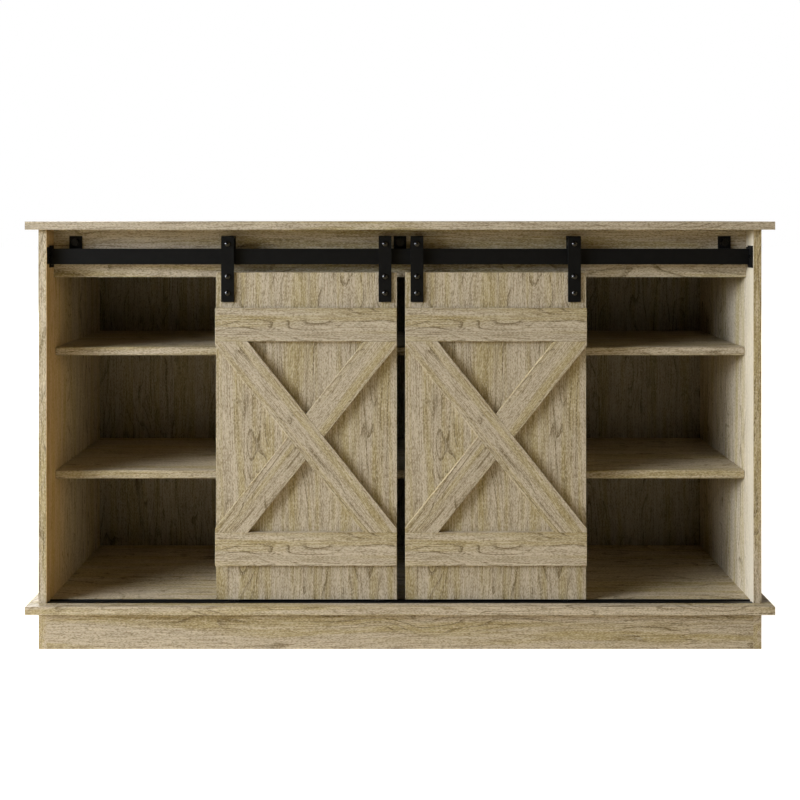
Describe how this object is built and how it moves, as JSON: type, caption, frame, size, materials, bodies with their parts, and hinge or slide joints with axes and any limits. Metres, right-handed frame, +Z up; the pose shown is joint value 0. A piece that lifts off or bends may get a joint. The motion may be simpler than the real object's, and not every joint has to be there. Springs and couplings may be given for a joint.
{
  "type": "tv stand",
  "caption": "Television cabinet of wood-effect boards with open shelf bays at both ends and sliding barn doors that hang from a flat black rail.",
  "frame": {"origin": "on the floor, in the middle of the overall width and depth", "axes": "+X to the right along the width, -Y to the front where the doors are, +Z up"},
  "size_m": [1.472, 0.394, 0.847],
  "materials": {
    "oak_laminate": "matt oak-print laminate with raised grain",
    "oak_backing": "matt oak-print paper on thin board",
    "black_steel": "fine-textured black powder coat",
    "black_nylon": "black nylon, slightly shiny",
    "zinc": "bright zinc plate",
    "beech": "plain fluted beech"
  },
  "bodies": {
    "cabinet": {"top_panel": "oak_laminate", "bottom_panel": "oak_laminate", "left_side_panel": "oak_laminate", "right_side_panel": "oak_laminate", "left_divider": "oak_laminate", "right_divider": "oak_laminate", "header_board": "oak_laminate", "left_lower_shelf": "oak_laminate", "left_upper_shelf": "oak_laminate", "centre_lower_shelf": "oak_laminate", "centre_upper_shelf": "oak_laminate", "right_lower_shelf": "oak_laminate", "right_upper_shelf": "oak_laminate", "left_back_panel": "oak_backing", "centre_back_panel": "oak_backing", "right_back_panel": "oak_backing", "front_plinth_board": "oak_laminate", "rear_plinth_board": "oak_laminate", "left_plinth_board": "oak_laminate", "right_plinth_board": "oak_laminate", "plinth_brace": "oak_laminate", "door_rail": "black_steel", "left_rail_end_plate": "black_steel", "right_rail_end_plate": "black_steel", "left_rail_bracket": "black_steel", "centre_rail_bracket": "black_steel", "right_rail_bracket": "black_steel", "rail_bracket_bolts": "black_steel", "rail_end_screws": "black_steel", "door_floor_track": "black_nylon", "shelf_pins": "zinc", "cam_fittings": "zinc", "base_screws": "zinc", "wood_dowels": "beech"},
    "left_door": {"left_door_panel": "oak_laminate", "left_door_top_trim": "oak_laminate", "left_door_bottom_trim": "oak_laminate", "left_door_long_brace": "oak_laminate", "left_door_upper_short_brace": "oak_laminate", "left_door_lower_short_brace": "oak_laminate", "left_door_inner_strap": "black_steel", "left_door_outer_strap": "black_steel", "left_door_strap_bolts": "black_steel", "left_door_roller_axles": "black_steel", "left_door_glides": "black_nylon"},
    "left_inner_roller": {"left_door_inner_roller": "black_nylon"},
    "left_outer_roller": {"left_door_outer_roller": "black_nylon"},
    "right_door": {"right_door_panel": "oak_laminate", "right_door_top_trim": "oak_laminate", "right_door_bottom_trim": "oak_laminate", "right_door_long_brace": "oak_laminate", "right_door_upper_short_brace": "oak_laminate", "right_door_lower_short_brace": "oak_laminate", "right_door_inner_strap": "black_steel", "right_door_outer_strap": "black_steel", "right_door_strap_bolts": "black_steel", "right_door_roller_axles": "black_steel", "right_door_glides": "black_nylon"},
    "right_inner_roller": {"right_door_inner_roller": "black_nylon"},
    "right_outer_roller": {"right_door_outer_roller": "black_nylon"}
  },
  "joints": [
    {"name": "left_door_slide", "type": "slide", "parent": "cabinet", "child": "left_door", "axis": [1, 0, 0], "range_m": [-0.33, 0.008]},
    {"name": "right_door_slide", "type": "slide", "parent": "cabinet", "child": "right_door", "axis": [1, 0, 0], "range_m": [-0.008, 0.326]},
    {"name": "left_inner_roller_spin", "type": "hinge", "parent": "left_door", "child": "left_inner_roller", "pos_m": [-0.02975, -0.158, 0.8023], "axis": [0, 1, 0], "continuous": true},
    {"name": "left_outer_roller_spin", "type": "hinge", "parent": "left_door", "child": "left_outer_roller", "pos_m": [-0.34275, -0.158, 0.8023], "axis": [0, 1, 0], "continuous": true},
    {"name": "right_inner_roller_spin", "type": "hinge", "parent": "right_door", "child": "right_inner_roller", "pos_m": [0.03375, -0.158, 0.8023], "axis": [0, 1, 0], "continuous": true},
    {"name": "right_outer_roller_spin", "type": "hinge", "parent": "right_door", "child": "right_outer_roller", "pos_m": [0.34675, -0.158, 0.8023], "axis": [0, 1, 0], "continuous": true}
  ],
  "couplings": [
    {"joint": "left_inner_roller_spin", "follows": "left_door_slide", "rad_per_m": 105.26},
    {"joint": "left_outer_roller_spin", "follows": "left_door_slide", "rad_per_m": 105.26},
    {"joint": "right_inner_roller_spin", "follows": "right_door_slide", "rad_per_m": 105.26},
    {"joint": "right_outer_roller_spin", "follows": "right_door_slide", "rad_per_m": 105.26}
  ]
}
